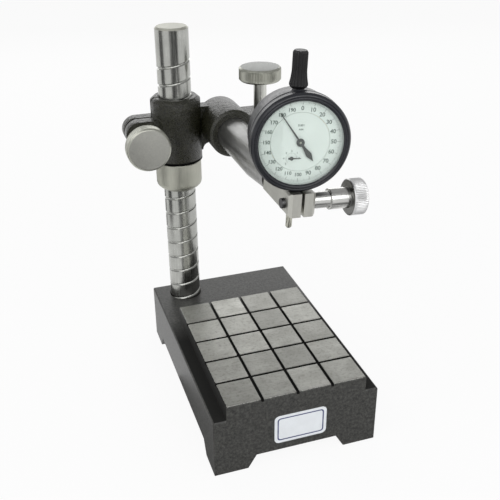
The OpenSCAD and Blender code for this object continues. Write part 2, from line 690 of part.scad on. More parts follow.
module spindle() color("Silver") on_gauge() difference() {
  translate([0, 0, spindle_z]) cylinder(r = spindle_r, h = spindle_len);
  translate([0, 0, spindle_z - 1]) cylinder(r = tip_stud_r + seat_gap, h = tip_stud_len + 1.9);
}

module contact_point() color("Silver") on_gauge() translate([0, 0, -tip_drop]) {
  rotate_extrude() polygon([[0, 0], [1.1, 0], [spindle_r - 0.05, 0.9],
    [spindle_r - 0.05, tip_len], [0, tip_len]]);
  cylinder(r = tip_stud_r, h = tip_len + tip_stud_len);
}

module lifting_cap() color("Black") on_gauge() difference() {
  rotate_extrude() polygon([[0, cap_z], [cap_foot_r - 1, cap_z], [cap_foot_r, cap_z + 1.4],
    [cap_foot_r - 0.1, cap_z + 2.4], [cap_r + 0.4, cap_z + 5.4], [cap_r, cap_z + 9],
    [cap_r, cap_top - 1], [cap_r - 0.8, cap_top], [0, cap_top]]);
  translate([0, 0, cap_z - 1]) cylinder(r = bush_r + 0.5, h = 6);
  translate([0, 0, cap_z - 1]) cylinder(r = spindle_r + seat_gap, h = cap_top - cap_z - cap_roof + 1);
}

base_casting();
column();
column_bolt();
thrust_washer();
lifting_nut();
bracket();
column_clamp_knob();
column_clamp_screw();
arm_clamp_knob();
arm_clamp_screw();
arm();
gauge_holder();
stem_clamp_knob();
stem_clamp_screw();
gauge_case();
back_cover();
cover_screws();
gauge_stem();
upper_bush();
movement_frame();
dial_plate();
bezel();
crystal();
dial_ring();
long_hand();
centre_arbor();
second_arbor();
rack_arbor();
counter_arbor();
short_hand();
spindle();
contact_point();
lifting_cap();
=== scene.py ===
"""Looks of a comparator stand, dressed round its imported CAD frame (metres, Z up)."""

import json
import math

import bmesh
import bpy
from mathutils import Matrix, Quaternion, Vector


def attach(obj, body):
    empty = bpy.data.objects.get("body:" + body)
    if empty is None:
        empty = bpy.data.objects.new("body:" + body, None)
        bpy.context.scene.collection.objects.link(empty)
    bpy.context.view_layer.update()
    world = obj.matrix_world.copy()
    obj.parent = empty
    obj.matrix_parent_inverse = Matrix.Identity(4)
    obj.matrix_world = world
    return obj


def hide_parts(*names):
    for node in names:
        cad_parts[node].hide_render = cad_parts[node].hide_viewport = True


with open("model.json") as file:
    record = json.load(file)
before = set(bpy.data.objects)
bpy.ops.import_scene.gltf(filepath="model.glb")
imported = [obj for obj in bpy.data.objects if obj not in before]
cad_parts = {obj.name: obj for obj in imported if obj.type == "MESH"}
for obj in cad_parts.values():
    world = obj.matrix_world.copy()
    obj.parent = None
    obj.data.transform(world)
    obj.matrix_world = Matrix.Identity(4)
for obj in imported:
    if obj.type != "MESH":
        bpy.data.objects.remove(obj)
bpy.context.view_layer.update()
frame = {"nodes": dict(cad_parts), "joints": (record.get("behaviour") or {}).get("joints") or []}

MM = 0.001
nodes = frame["nodes"]
joints = {j["name"]: j for j in frame["joints"]}


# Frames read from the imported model


def axes(origin, x, y, z):
    """Matrix with that origin and those three directions."""
    turn = Matrix((x, y, z)).transposed().to_4x4()
    return Matrix.Translation(origin) @ turn


def along(joint):
    """Matrix at a joint's place whose Z runs along its axis."""
    turn = Vector((0, 0, 1)).rotation_difference(Vector(joint["axis"]).normalized())
    return Matrix.Translation(joint["pos_m"]) @ turn.to_matrix().to_4x4()


def span(node, at=Matrix.Identity(4)):
    """Lowest and highest corner of a CAD node, in mm in the frame `at`."""
    inverse = at.inverted()
    local = [inverse @ v.co / MM for v in nodes[node].data.vertices]
    lo = Vector(min(p[i] for p in local) for i in range(3))
    hi = Vector(max(p[i] for p in local) for i in range(3))
    return lo, hi


dial_normal = Vector(joints["long_hand_turn"]["axis"]).normalized()
stem_axis = Vector(joints["spindle_slide"]["axis"]).normalized()
dial_centre = Vector(joints["long_hand_turn"]["pos_m"])
dial_right = dial_normal.cross(stem_axis)
# Both at the dial's centre: one with Z up the stem, one with Z out of the dial
stem_at = axes(dial_centre, dial_right, dial_normal, stem_axis)
dial_at = axes(dial_centre, dial_right, stem_axis, -dial_normal)
column_at = Matrix.Translation(Vector(joints["nut_turn"]["pos_m"]) * Vector((1, 1, 0)))
column_knob_at = along(joints["column_clamp_turn"])
arm_knob_at = along(joints["arm_clamp_turn"])
stem_knob_at = along(joints["stem_clamp_turn"])


# Mesh helpers, all in mm in a piece's own frame


def rounded(points, radius, steps=3):
    """Profile with its inner corners replaced by short arcs."""
    out = [Vector(points[0])]
    for a, b, c in zip(points, points[1:], points[2:]):
        a, b, c = Vector(a), Vector(b), Vector(c)
        cut = min(radius, 0.45 * (a - b).length, 0.45 * (c - b).length)
        p = b + (a - b).normalized() * cut
        q = b + (c - b).normalized() * cut
        for i in range(steps + 1):
            t = i / steps
            out.append((1 - t) ** 2 * p + 2 * t * (1 - t) * b + t * t * q)
    out.append(Vector(points[-1]))
    return out


def piece(name, bm, at, body, material, replaced=(), sharp=35):
    """Object made from a bmesh in mm, placed at `at`, riding on a body."""
    bm.normal_update()
    mesh = bpy.data.meshes.new(name)
    bmesh.ops.scale(bm, vec=(MM, MM, MM), verts=bm.verts)
    bm.to_mesh(mesh)
    bm.free()
    for m in material if isinstance(material, (list, tuple)) else [material]:
        mesh.materials.append(m)
    mesh.shade_smooth()
    mesh.set_sharp_from_angle(angle=math.radians(sharp))
    obj = bpy.data.objects.new(name, mesh)
    bpy.context.scene.collection.objects.link(obj)
    obj.matrix_world = at
    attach(obj, body)
    if replaced:
        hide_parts(*replaced)
    return obj


def lathe(profile, segments=128, ripple=None, closed=False):
    """Bmesh turned about Z from points of radius and height; `ripple` may shift a radius."""
    bm = bmesh.new()
    rings = []
    for r, z in profile:
        if r < 1e-6:
            rings.append([bm.verts.new((0, 0, z))])
            continue
        ring = []
        for i in range(segments):
            a = 2 * math.pi * i / segments
            s = r + (ripple(a, r, z) if ripple else 0)
            ring.append(bm.verts.new((s * math.cos(a), s * math.sin(a), z)))
        rings.append(ring)
    pairs = list(zip(rings, rings[1:])) + ([(rings[-1], rings[0])] if closed else [])
    for low, high in pairs:
        for i in range(segments):
            j = (i + 1) % segments
            if len(low) == 1 and len(high) > 1:
                bm.faces.new((low[0], high[j], high[i]))
            elif len(high) == 1 and len(low) > 1:
                bm.faces.new((low[i], low[j], high[0]))
            elif len(low) > 1:
                bm.faces.new((low[i], low[j], high[j], high[i]))
    bmesh.ops.recalc_face_normals(bm, faces=bm.faces)
    return bm


def knurl(count, depth, z0, z1, fade=0.5):
    """Ripple of straight ridges round a rim between two heights, for `lathe`."""

    def ripple(a, r, z):
        ends = min(max(min(z - z0, z1 - z) / fade, 0), 1)
        return -depth * ends * (0.5 - 0.5 * math.cos(count * a))

    return ripple


def rows(z0, z1, step):
    """Heights from z0 to z1 at about that step."""
    n = max(1, round(abs(z1 - z0) / step))
    return [z0 + (z1 - z0) * i / n for i in range(n + 1)]


def slab(bm, loop, z0, z1, index=0):
    """Prism on a loop of 2D points, added to a bmesh."""
    low = [bm.verts.new((x, y, z0)) for x, y in loop]
    high = [bm.verts.new((x, y, z1)) for x, y in loop]
    made = [bm.faces.new(list(reversed(low))), bm.faces.new(high)]
    for i in range(len(loop)):
        j = (i + 1) % len(loop)
        made.append(bm.faces.new((low[i], low[j], high[j], high[i])))
    for f in made:
        f.material_index = index


# Material helpers


def add(tree, kind, inputs=None, **settings):
    """Node with its settings, and its inputs set or linked."""
    node = tree.nodes.new("ShaderNode" + kind)
    for key, value in settings.items():
        setattr(node, key, value)
    for key, value in (inputs or {}).items():
        socket = node.inputs[key]
        if isinstance(value, bpy.types.NodeSocket):
            tree.links.new(value, socket)
        else:
            socket.default_value = value
    return node


def socket_name(key):
    """Name of a shader's input for a keyword such as base_color."""
    return key.replace("_", " ").title().replace("Ior", "IOR")


def material(name, **values):
    """Principled material; returns it with its tree and shader."""
    mat = bpy.data.materials.new(name)
    mat.use_nodes = True
    tree = mat.node_tree
    shader = tree.nodes["Principled BSDF"]
    for key, value in values.items():
        shader.inputs[socket_name(key)].default_value = value
    return mat, tree, shader


def coords(tree, scale=(1, 1, 1)):
    """Place on the piece in mm, stretched by a scale."""
    place = add(tree, "TexCoord").outputs["Object"]
    size = [s / MM for s in scale]
    return add(tree, "Mapping", {"Vector": place, "Scale": size}).outputs["Vector"]


def noise(tree, vector, scale, detail=3, rough=0.55):
    """Noise value over a vector in mm; scale counts features per mm."""
    return add(
        tree, "TexNoise", {"Vector": vector, "Scale": scale, "Detail": detail, "Roughness": rough}
    ).outputs["Fac"]


def remap(tree, value, low, high, to_low, to_high):
    """Value stretched from one range to another, clamped."""
    node = add(
        tree,
        "MapRange",
        {"Value": value, "From Min": low, "From Max": high, "To Min": to_low, "To Max": to_high},
    )
    return node.outputs["Result"]


def mix_colour(tree, fac, a, b):
    """Colour between a and b."""
    node = add(tree, "Mix", data_type="RGBA")
    for socket, value in ((node.inputs[0], fac), (node.inputs[6], a), (node.inputs[7], b)):
        if isinstance(value, bpy.types.NodeSocket):
            tree.links.new(value, socket)
        else:
            socket.default_value = (*value, 1) if isinstance(value, tuple) else value
    return node.outputs[2]


def bump(tree, height, distance, strength=1.0, normal=None):
    """Normal from a height; distance in mm."""
    inputs = {"Height": height, "Distance": distance * MM, "Strength": strength}
    if normal:
        inputs["Normal"] = normal
    return add(tree, "Bump", inputs).outputs["Normal"]


def tint(colour, factor):
    """Colour made darker or lighter."""
    return tuple(c * factor for c in colour)


def link(tree, shader, **sockets):
    """Links outputs to the shader's named inputs."""
    for key, value in sockets.items():
        tree.links.new(value, shader.inputs[socket_name(key)])


# Materials


def cast_skin(tree, dark, light, fleck, amount):
    """Colour, fine noise and height of a painted casting: uneven coat and worn high spots."""
    place = coords(tree)
    skin = noise(tree, place, 0.22, 4)
    fine = noise(tree, place, 1.3, 3)
    grain = noise(tree, place, 0.5, 6, 0.85)
    tone = mix_colour(tree, remap(tree, skin, 0.35, 0.75, 0, 1), dark, light)
    tone = mix_colour(tree, remap(tree, grain, 0.42, 0.72, 0, amount), tone, fleck)
    return tone, fine, skin


def cast_paint(name, colour, rough, peel, pits, shine, foot):
    """Semi-gloss enamel on a casting, with painted shade as a matt black band along its foot."""
    mat, tree, shader = material(name, specular_ior_level=shine)
    tone, fine, skin = cast_skin(tree, tint(colour, 0.5), tint(colour, 1.1), tint(colour, 4), 0.7)
    height = add(tree, "SeparateXYZ", {"Vector": coords(tree)}).outputs["Z"]
    # Painted shade: matt near-black over the lowest mm, fading out by 1.8 mm above the foot
    painted_shade = remap(tree, height, foot + 1.0, foot + 1.8, 1, 0)
    coat_rough = remap(tree, fine, 0.3, 0.7, rough - 0.1, rough + 0.12)
    link(
        tree,
        shader,
        base_color=mix_colour(tree, painted_shade, tone, (0.002, 0.002, 0.002)),
        roughness=remap(tree, painted_shade, 0, 1, coat_rough, 1.0),
        specular_ior_level=remap(tree, painted_shade, 0, 1, shine, 0.05),
        normal=bump(tree, fine, peel, normal=bump(tree, skin, pits)),
    )
    return mat


def steel(name, colour, rough, stretch=(1, 1, 1), grain=1.0, depth=0.01, mottle=0.12):
    """Machined steel: grain drawn out along the cut and faint stains."""
    mat, tree, shader = material(name, metallic=1.0)
    lines = noise(tree, coords(tree, stretch), grain, 4, 0.7)
    stain = noise(tree, coords(tree), 0.09, 4)
    fac = remap(tree, stain, 0.3, 0.7, 0, 1)
    tone = mix_colour(tree, fac, tint(colour, 1 - mottle), tint(colour, 1 + mottle))
    streak = remap(tree, lines, 0.3, 0.7, 0, 1)
    tone = mix_colour(tree, streak, tint(colour, 0.82), tone)
    link(
        tree,
        shader,
        base_color=tone,
        roughness=remap(tree, lines, 0.25, 0.75, rough - 0.07, rough + 0.09),
        normal=bump(tree, lines, depth),
    )
    return mat


def satin(name, colour, rough, speck=2.0, depth=0.004, mottle=0.12, shine=0.5):
    """Fine even finish for paint, plastic and anodised metal."""
    mat, tree, shader = material(name, specular_ior_level=shine)
    fine = noise(tree, coords(tree), speck, 3)
    wide = noise(tree, coords(tree), 0.12, 3)
    fac = remap(tree, wide, 0.3, 0.7, 0, 1)
    link(
        tree,
        shader,
        base_color=mix_colour(tree, fac, tint(colour, 1 - mottle), tint(colour, 1 + mottle)),
        roughness=remap(tree, fine, 0.3, 0.7, rough - 0.05, rough + 0.06),
        normal=bump(tree, fine, depth),
    )
    return mat


def times(tree, a, b):
    """Product of two values."""
    return add(tree, "Math", {0: a, 1: b}, operation="MULTIPLY").outputs[0]


def within(tree, value, low, high, fade=0.5):
    """One where a value lies between two bounds; starts over half a mm and fades out over a length."""
    rise = remap(tree, value, low, low + 0.5, 0, 1)
    fall = remap(tree, value, high - fade, high, 1, 0)
    return times(tree, rise, fall)


def platen_dirt(tree, place):
    """One in the cuts between the squares and on the ledges beside them, less so at the rear: the mask
    of painted shade, with some dirt.
    """
    across = within(tree, place["X"], base_lo.x + 0.7, base_hi.x - 0.7)
    deep = within(tree, place["Y"], base_lo.y + 0.5, base_lo.y + platen_d, 30)
    ledge_z = base_hi.z - PLATEN_RISE
    high = remap(tree, place["Z"], ledge_z - 0.7, ledge_z - 0.2, 0, 1)
    return times(tree, times(tree, across, deep), high)


def square_chance(tree, place):
    """Chance value that is the same all over a square of the platen."""
    cell = add(tree, "CombineXYZ")
    starts = base_lo.x + LEDGE_W, base_lo.y
    sizes = platen_w / SQUARES[0], platen_d / SQUARES[1]
    for axis, low, size in zip("XY", starts, sizes):
        shift = add(tree, "Math", {0: place[axis], 1: low}, operation="SUBTRACT")
        step = add(tree, "Math", {0: shift.outputs[0], 1: size}, operation="DIVIDE")
        whole = add(tree, "Math", {0: step.outputs[0]}, operation="FLOOR")
        tree.links.new(whole.outputs[0], cell.inputs[axis])
    chance = add(tree, "TexWhiteNoise", {"Vector": cell.outputs[0]}, noise_dimensions="3D")
    return chance.outputs["Value"]


def ground_squares(tree, place, lines):
    """Colour of the ground squares: smears, grinding lines, a tone for each square, and stains."""
    spot = coords(tree)
    smear = remap(tree, noise(tree, spot, 0.07, 4), 0.3, 0.7, 0, 1)
    tone = mix_colour(tree, smear, (0.395, 0.395, 0.364), (0.575, 0.575, 0.54))
    tone = mix_colour(tree, remap(tree, lines, 0.3, 0.7, 0, 0.35), tone, (0.2, 0.2, 0.184))
    chance = remap(tree, square_chance(tree, place), 0, 1, 0, 0.6)
    tone = mix_colour(tree, chance, tone, (0.22, 0.22, 0.204))
    stain = remap(tree, noise(tree, spot, 0.45, 6, 0.75), 0.5, 0.75, 0, 0.6)
    return mix_colour(tree, stain, tone, (0.12, 0.12, 0.1))


def base_finish():
    """Enamelled casting whose platen squares are ground bare, with painted shade and some dirt in the
    cuts between them and on the ledges beside them.
    """
    mat, tree, shader = material("base_casting_finish", specular_ior_level=0.35)
    place = add(tree, "SeparateXYZ", {"Vector": coords(tree)}).outputs
    dark, light, fleck = (0.022, 0.022, 0.021), (0.038, 0.038, 0.036), (0.12, 0.12, 0.11)
    paint, fine, skin = cast_skin(tree, dark, light, fleck, 0.8)
    # Painted shade, with some dirt: near-black paint in the cuts and on the ledges beside the platen
    painted_shade = platen_dirt(tree, place)
    paint = mix_colour(tree, painted_shade, paint, (0.009, 0.009, 0.008))
    paint_rough = remap(tree, painted_shade, 0, 1, remap(tree, fine, 0.3, 0.7, 0.3, 0.46), 0.9)
    paint_normal = bump(tree, fine, 0.02, normal=bump(tree, skin, 0.08))
    lines = noise(tree, coords(tree, (0.08, 1.6, 1)), 1.4, 4, 0.7)
    bare_rough = remap(tree, lines, 0.25, 0.75, 0.34, 0.5)
    # Bare metal starts at a slightly ragged line below the top faces
    ragged = add(tree, "Math", {0: place["Z"], 1: remap(tree, fine, 0.2, 0.8, -0.25, 0.25)})
    bare = remap(tree, ragged.outputs[0], base_hi.z - 0.4, base_hi.z - 0.3, 0, 1)
    bare_normal = bump(tree, lines, 0.006)
    normal = add(tree, "Mix", {0: bare, 4: paint_normal, 5: bare_normal}, data_type="VECTOR")
    link(
        tree,
        shader,
        base_color=mix_colour(tree, bare, paint, ground_squares(tree, place, lines)),
        metallic=bare,
        roughness=remap(tree, bare, 0, 1, paint_rough, bare_rough),
        normal=normal.outputs[1],
    )
    return mat


def window_glass():
    """Flat glass: see-through, with the reflection of its front face."""
    mat, tree, shader = material("window_glass", base_color=(0.95, 1.0, 0.98, 1), metallic=1.0)
    clear = add(tree, "BsdfTransparent", {"Color": (0.97, 0.99, 0.98, 1)})
    mixed = add(tree, "MixShader", {0: 0.05, 1: clear.outputs[0], 2: shader.outputs[0]})
    smudge = noise(tree, coords(tree), 0.08, 3)
    link(tree, shader, roughness=remap(tree, smudge, 0.3, 0.7, 0.02, 0.09))
    tree.links.new(mixed.outputs[0], tree.nodes["Material Output"].inputs["Surface"])
    return mat


# Sizes of the base that its finish follows
LEDGE_W, STRIP_D, PLATEN_RISE, SQUARES = 9.2, 55.3, 11.2, (4, 5)
base_lo, base_hi = span("base_casting")
base_mid = Vector(((base_lo.x + base_hi.x) / 2, (base_lo.y + base_hi.y) / 2, 0))
platen_w = base_hi.x - base_lo.x - 2 * LEDGE_W
platen_d = base_hi.y - base_lo.y - STRIP_D

base_paint = base_finish()
bracket_paint = cast_paint(
    "bracket_paint", (0.009, 0.009, 0.0045), 0.26, 0.34, 0.8, 0.52, foot=span("bracket")[0].z
)
column_steel = steel("column_steel", (0.46, 0.465, 0.44), 0.22, (1, 1, 0.02), 0.9, 0.006, 0.2)
column_end = steel("column_end", (0.55, 0.55, 0.49), 0.5, (1, 1, 1), 0.8, 0.01, 0.2)
nut_steel = steel("nut_steel", (0.49, 0.493, 0.43), 0.46, (1, 1, 0.05), 1.0, 0.008)
rim_steel = steel("rim_steel", (0.46, 0.465, 0.41), 0.36, (1, 1, 0.1), 1.2, 0.006, 0.08)
shank_steel = steel("shank_steel", (0.66, 0.665, 0.62), 0.3, (1, 1, 0.1), 1.2, 0.004, 0.08)
column_knob_face = steel("column_knob_face", (0.54, 0.54, 0.5), 0.4, (1, 1, 1), 1.2, 0.006, 0.08)
arm_knob_face = steel("arm_knob_face", (0.2, 0.207, 0.196), 0.4, (1, 1, 1), 1.2, 0.006, 0.08)
arm_steel = steel("arm_steel", (0.39, 0.39, 0.382), 0.34, (1, 0.03, 1), 1.2, 0.006, 0.12)
holder_steel = steel("holder_steel", (0.6, 0.597, 0.55), 0.38, (1.5, 1.5, 0.06), 1.6, 0.012)
bright_steel = steel("bright_steel", (0.62, 0.62, 0.6), 0.22, (1, 1, 0.1), 1.0, 0.004, 0.1)
# Painted highlight: a lighter copy of the knob steel for the stem knob's knurled rim
knurl_steel_painted_highlight = steel("knurl_steel_painted_highlight", (0.9, 0.9, 0.9), 0.42, (1, 1, 0.1), 1.0, 0.004, 0.06)
plunger_steel = steel("plunger_steel", (0.53, 0.525, 0.45), 0.3, (1, 1, 0.05), 1.4, 0.004)
# Painted shade: a darker copy of the knob steel for the stem knob's flat back, standing in for its dark
# reflection
back_steel_painted_shade = steel("back_steel_painted_shade", (0.22, 0.22, 0.21), 0.3, (1, 1, 1), 0.9, 0.01, 0.25)
dark_steel = steel("dark_steel", (0.1, 0.1, 0.1), 0.4, (1, 1, 1), 1.0, 0.006)
brass = steel("movement_brass", (0.6, 0.43, 0.16), 0.35, (1, 1, 1), 1.0, 0.004)
case_finish = satin("case_finish", (0.03, 0.031, 0.035), 0.34)
bezel_finish = satin("bezel_finish", (0.009, 0.01, 0.014), 0.3)
cap_plastic = satin("cap_plastic", (0.006, 0.006, 0.007), 0.42, 1.4, 0.012, shine=0.35)
washer_black = satin("washer_black", (0.003, 0.003, 0.003), 0.6, shine=0.1)
dial_paint = satin("dial_paint", (0.745, 0.773, 0.754), 0.5, 3.0, 0.002, 0.02)
hand_paint = satin("hand_paint", (0.01, 0.011, 0.01), 0.4)
print_ink = satin("print_ink", (0.11, 0.14, 0.125), 0.55)
label_white = satin("label_white", (0.76, 0.79, 0.82), 0.35, 2.0, 0.004, 0.03)
label_blue = satin("label_blue", (0.045, 0.055, 0.16), 0.35)
glass = window_glass()


# CAD nodes that stay: finish, and edges softened by modifiers


def weld(obj, name):
    """Modifier that joins points closer than 2 microns."""
    obj.modifiers.new(name, "WELD").merge_threshold = 0.002 * MM


def dress(node, finish, edge):
    """Finish for a CAD node, with a small bevel on its edges."""
    obj = nodes[node]
    obj.data.materials.clear()
    obj.data.materials.append(finish)
    if edge:
        weld(obj, "weld")
        bevel = obj.modifiers.new("bevel", "BEVEL")
        bevel.width = edge * MM
        bevel.segments = 2
        bevel.limit_method = "ANGLE"
        bevel.angle_limit = math.radians(35)
        bevel.harden_normals = True
        weld(obj, "weld_slivers")


# Finish of each node, and the width of its bevel in mm
EDGE = 0.25
FINISHES = (
    ("base_casting", base_paint, 0.4),
    ("column_bolt", dark_steel, EDGE),
    ("thrust_washer", washer_black, 0),
    ("bracket", bracket_paint, 0.9),
    ("column_clamp_screw", dark_steel, EDGE),
    ("arm_clamp_screw", dark_steel, EDGE),
    ("arm", arm_steel, EDGE),
    ("gauge_holder", holder_steel, 0.3),
    ("stem_clamp_screw", dark_steel, EDGE),
    ("gauge_case", case_finish, EDGE),
    ("back_cover", case_finish, EDGE),
    ("cover_screws", plunger_steel, 0.1),
    ("gauge_stem", plunger_steel, EDGE),
    ("upper_bush", case_finish, EDGE),
    ("movement_frame", brass, 0),
    ("dial_plate", dial_paint, 0),
    ("crystal", glass, 0),
    ("dial_ring", dial_paint, 0),
    ("long_hand", hand_paint, 0.08),
    ("centre_arbor", plunger_steel, 0),
    ("second_arbor", brass, 0),
    ("rack_arbor", brass, 0),
    ("counter_arbor", dark_steel, 0),
    ("short_hand", hand_paint, 0.05),
    ("spindle", plunger_steel, EDGE),
    ("contact_point", plunger_steel, EDGE),
)
for node, finish, edge in FINISHES:
    dress(node, finish, edge)


# Column with its helical groove

GROOVE_PITCH = 12.5
GROOVE_W = 2.2
GROOVE_DEPTH = 0.9
GROOVE_TOP = 241
# The groove passes this height on the side that faces this direction
GROOVE_PASS_Z, GROOVE_PASS_ANGLE = 133.0, math.radians(-102.4)


def grooved_column():
    """Column cut by a helical groove: a wrapped grid whose rows rise one pitch a turn."""
    lo, hi = span("column", column_at)
    radius, chamfer, segments = hi.x, 1.4, 96
    # Steps across one pitch, close together where the groove is
    half = GROOVE_W / 2
    floor_of_groove = [(-1, 0), (-0.55, 0.7), (-0.2, 1), (0.2, 1), (0.55, 0.7), (1, 0)]
    steps = [(half * share, depth) for share, depth in floor_of_groove]
    rest = GROOVE_PITCH - GROOVE_W
    steps += [(half + rest * k / 3, 0) for k in (1, 2)]
    first = GROOVE_PASS_Z - GROOVE_PITCH * (math.ceil((GROOVE_PASS_Z - lo.z) / GROOVE_PITCH) + 2)
    turns = math.ceil((hi.z - first) / GROOVE_PITCH) + 1
    bm = bmesh.new()
    heights = [(first + GROOVE_PITCH * t + z, d) for t in range(turns) for z, d in steps]
    grid = []
    for i in range(segments):
        share = i / segments
        a = GROOVE_PASS_ANGLE + 2 * math.pi * share
        line = []
        for z, d in heights:
            z += GROOVE_PITCH * share
            fade = min(max((GROOVE_TOP - z) / 4, 0), 1)
            r = radius - GROOVE_DEPTH * d * fade
            line.append(bm.verts.new((r * math.cos(a), r * math.sin(a), z)))
        grid.append(line)
    # After one turn the lines meet those a pitch higher
    for i in range(segments):
        shift = len(steps) if i + 1 == segments else 0
        line, after = grid[i], grid[(i + 1) % segments]
        for k in range(len(heights) - 1):
            if k + 1 + shift < len(heights):
                bm.faces.new((line[k], after[k + shift], after[k + 1 + shift], line[k + 1]))
    for z, outer in ((lo.z, False), (hi.z - chamfer, True)):
        geometry = bm.verts[:] + bm.edges[:] + bm.faces[:]
        bmesh.ops.bisect_plane(
            bm,
            geom=geometry,
            plane_co=(0, 0, z),
            plane_no=(0, 0, 1),
            clear_outer=outer,
            clear_inner=not outer,
        )
    rim = [e for e in bm.edges if e.is_boundary and e.verts[0].co.z > hi.z - 2]
    made = bmesh.ops.extrude_edge_only(bm, edges=rim)["geom"]
    for v in [g for g in made if isinstance(g, bmesh.types.BMVert)]:
        flat = Vector((v.co.x, v.co.y, 0)).normalized() * (radius - chamfer)
        v.co = (flat.x, flat.y, hi.z)
    bmesh.ops.holes_fill(bm, edges=[e for e in bm.edges if e.is_boundary], sides=0)
    bmesh.ops.recalc_face_normals(bm, faces=bm.faces)
    for f in bm.faces:
        f.material_index = 1 if f.calc_center_median().z > hi.z - chamfer else 0
    finish = [column_steel, column_end]
    return piece("column_grooved", bm, column_at, "stand", finish, ["column"], 40)


grooved_column()


# Turned pieces


def lifting_nut():
    """Plain nut with a rounded lower edge."""
    lo, hi = span("lifting_nut", column_at)
    bore, outer, edge = 12.05, hi.x, 5.2
    loop = [
        (bore + 0.3, lo.z),
        (bore + 0.75, lo.z),
        (outer - 2.2, lo.z + 0.3 * edge),
        (outer - 0.5, lo.z + 0.62 * edge),
        (outer, lo.z + edge),
        (outer, hi.z - 0.5),
        (outer - 0.5, hi.z),
        (bore + 0.3, hi.z),
        (bore, hi.z - 0.3),
        (bore, lo.z + 0.3),
    ]
    profile = rounded(loop + loop[:2], 0.9)[1:-1]
    bm = lathe(profile, closed=True)
    return piece("lifting_nut_turned", bm, column_at, "nut", nut_steel, ["lifting_nut"])


def clamp_knob(clamp, at, face):
    """Knurled knob on a shank, bored from below for its screw."""
    node = clamp + "_knob"
    lo, hi = span(node, at)
    screw_hi = span(clamp + "_screw", at)[1]
    knob_r, shank_r, head_t, bevel, ridge_count = hi.x, 4.8, 10, 1.2, 84
    under = hi.z - head_t
    hole_r, hole_z = screw_hi.x + 0.02, screw_hi.z + 0.5
    side = [(knob_r, z) for z in rows(under + bevel, hi.z - bevel, 0.8)]
    profile = [(0, hole_z), (hole_r, hole_z), (hole_r, lo.z)]
    profile += [(shank_r - 0.4, lo.z), (shank_r, lo.z + 0.4)]
    profile += rounded([(shank_r, lo.z + 0.6), (shank_r, under), (knob_r - bevel, under)], 0.5)
    profile += [(knob_r - bevel + 0.1, under)] + side
    profile += rounded([side[-1], (knob_r - bevel, hi.z), (0, hi.z)], 0.35)[1:]
    ridges = knurl(ridge_count, 0.42, under + bevel - 0.2, hi.z - bevel + 0.2)
    bm = lathe(profile, ridge_count * 6, lambda a, r, z: ridges(a, r, z) if r > knob_r - 0.05 else 0)
    bm.normal_update()
    for f in bm.faces:
        middle = f.calc_center_median()
        f.material_index = 0
        if f.normal.z > 0.99 and middle.z > under:
            f.material_index = 1
        elif middle.z < under and middle.xy.length < shank_r + 0.1:
            f.material_index = 2
    name = clamp.replace("clamp", "knob") + "_knurled"
    return piece(name, bm, at, clamp, [rim_steel, face, shank_steel], [node])


def stem_knob():
    """Bright stepped knob with a knurled rim and a flat back; the rim's steel is lightened as a painted
    highlight, the back's darkened as painted shade.
    """
    lo, hi = span("stem_clamp_knob", stem_knob_at)
    screw_hi = span("stem_clamp_screw", stem_knob_at)[1]
    rim_r, collar_r, neck_r, edge, ridge_count = hi.x, 6.3, 5.0, 0.8, 64
    rim_len, collar_len = 9.5, 12.4
    rim_z = hi.z - rim_len
    collar_z = rim_z - collar_len
    side = [(rim_r, z) for z in rows(rim_z + edge, hi.z - edge, 0.8)]
    hole_r, hole_z = screw_hi.x + 0.02, screw_hi.z + 1
    profile = [(0, hole_z), (hole_r, hole_z), (hole_r, lo.z), (neck_r - 0.3, lo.z), (neck_r, lo.z + 0.3)]
    step = [(neck_r, lo.z + 0.5), (neck_r, collar_z), (collar_r, collar_z), (collar_r, rim_z - 1)]
    under = [(collar_r, rim_z - 0.8), (collar_r, rim_z), (rim_r - edge, rim_z), side[0]]
    profile += rounded(step, 0.4) + rounded(under, 0.7)[:-1]
    profile += side
    profile += rounded([side[-1], (rim_r - edge, hi.z), (0, hi.z)], 0.4)[1:]
    ridges = knurl(ridge_count, 0.3, rim_z + edge, hi.z - edge)
    bm = lathe(profile, ridge_count * 6, lambda a, r, z: ridges(a, r, z) if r > rim_r - 0.05 else 0)
    for f in bm.faces:
        middle = f.calc_center_median()
        f.material_index = 0
        if middle.xy.length > rim_r - 0.5:
            f.material_index = 1
        elif middle.z > rim_z - 0.5 and middle.xy.length > collar_r:
            f.material_index = 2
    # The rim takes a painted highlight and the flat back painted shade
    finish = [bright_steel, knurl_steel_painted_highlight, back_steel_painted_shade]
    replaced = ["stem_clamp_knob"]
    return piece("stem_knob_turned", bm, stem_knob_at, "stem_clamp", finish, replaced)


def lifting_cap():
    """Ribbed plastic cap that lifts the spindle."""
    lo, hi = span("lifting_cap", stem_at)
    z0, z1 = lo.z, hi.z
    top_r, skirt_r, bore_r, plug_r = 4.3, 5.4, 4.0, 2.02
    outline = [(bore_r, z0), (4.4, z0), (skirt_r, z0 + 1.4), (skirt_r - 0.1, z0 + 2.4), (4.7, z0 + 5.4)]
    outline += [(top_r, z0 + 9), (top_r, z1 - 1), (top_r - 0.8, z1)]
    profile = [(0, z1 - 3.4), (plug_r, z1 - 3.4), (plug_r, z0 + 5), (bore_r, z0 + 5)]
    profile += rounded(outline, 0.6, 4) + [(0, z1)]
    ribs = 20

    def ripple(a, r, z):
        share = min(max((r - 3.6) / 0.5, 0), 1) * min(max((z - z0 - 0.6) / 1.5, 0), 1)
        inside = r <= bore_r + 0.01 and z < z0 + 5.1
        return 0 if inside else -0.45 * share * (0.5 - 0.5 * math.cos(ribs * a)) ** 0.7

    bm = lathe(profile, ribs * 8, ripple)
    replaced = ["lifting_cap"]
    return piece("lifting_cap_ribbed", bm, stem_at, "spindle", cap_plastic, replaced, 50)


